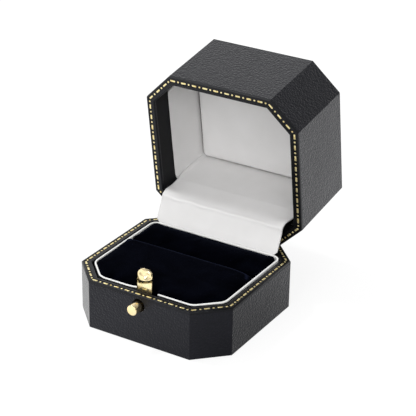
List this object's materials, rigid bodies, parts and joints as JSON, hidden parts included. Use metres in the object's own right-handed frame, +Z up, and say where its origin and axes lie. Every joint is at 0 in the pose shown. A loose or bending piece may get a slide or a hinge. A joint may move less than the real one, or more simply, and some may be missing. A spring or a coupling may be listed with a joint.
{
  "type": "ring display box",
  "caption": "Octagonal hinged ring box in black leatherette with gold dash-dot tooling, white satin lid lining, black velvet ring slot and a brass push-button latch.",
  "frame": {"origin": "centre of the underside, on the surface that the box stands on", "axes": "+Z up, the push button faces -Y, the hinge is at +Y, +X to the right seen from the front"},
  "size_m": [0.055, 0.0842, 0.073],
  "materials": {
    "wood": "bare pine board, hidden under the leatherette",
    "leatherette": "fine-grained black leatherette, semi-matt",
    "gold": "hot-pressed gold tooling",
    "lining": "smooth black lining paper",
    "foot": "black card",
    "white_card": "satin-covered white card",
    "velvet": "black-blue velvet over foam",
    "brass": "polished brass",
    "steel": "plain steel",
    "satin": "white satin, soft sheen"
  },
  "bodies": {
    "base": {"base_shell": "wood", "base_cover": "leatherette", "base_rim": "leatherette", "base_tooling": "gold", "base_lining": "lining", "foot_pad": "foot", "collar": "white_card", "front_cushion": "velvet", "rear_cushion": "velvet", "latch_bracket": "brass", "latch_pivot_pin": "steel", "latch_spring": "steel", "base_hinge_leaf": "brass", "hinge_pin": "steel", "satin_flap": "satin"},
    "lid": {"lid_hinge_leaf": "brass", "lid_shell": "wood", "lid_cover": "leatherette", "lid_rim": "leatherette", "lid_tooling": "gold", "lid_lining": "lining", "lid_liner": "satin", "lid_cushion": "satin", "lid_catch_plate": "brass", "lid_catch_pins": "brass"},
    "latch": {"latch_tongue": "brass", "latch_button": "brass"}
  },
  "joints": [
    {"name": "lid_hinge", "type": "hinge", "parent": "base", "child": "lid", "pos_m": [0, 0.0255, 0.0167], "axis": [1, 0, 0], "range_deg": [0, 81], "deforming": ["satin_flap"]},
    {"name": "latch_press", "type": "hinge", "parent": "base", "child": "latch", "pos_m": [0, -0.02308, 0.00355], "axis": [-1, 0, 0], "range_deg": [0, 4.5], "stiffness_Nm_per_rad": 0.2, "springref_deg": -1.72, "deforming": ["latch_spring"]}
  ]
}
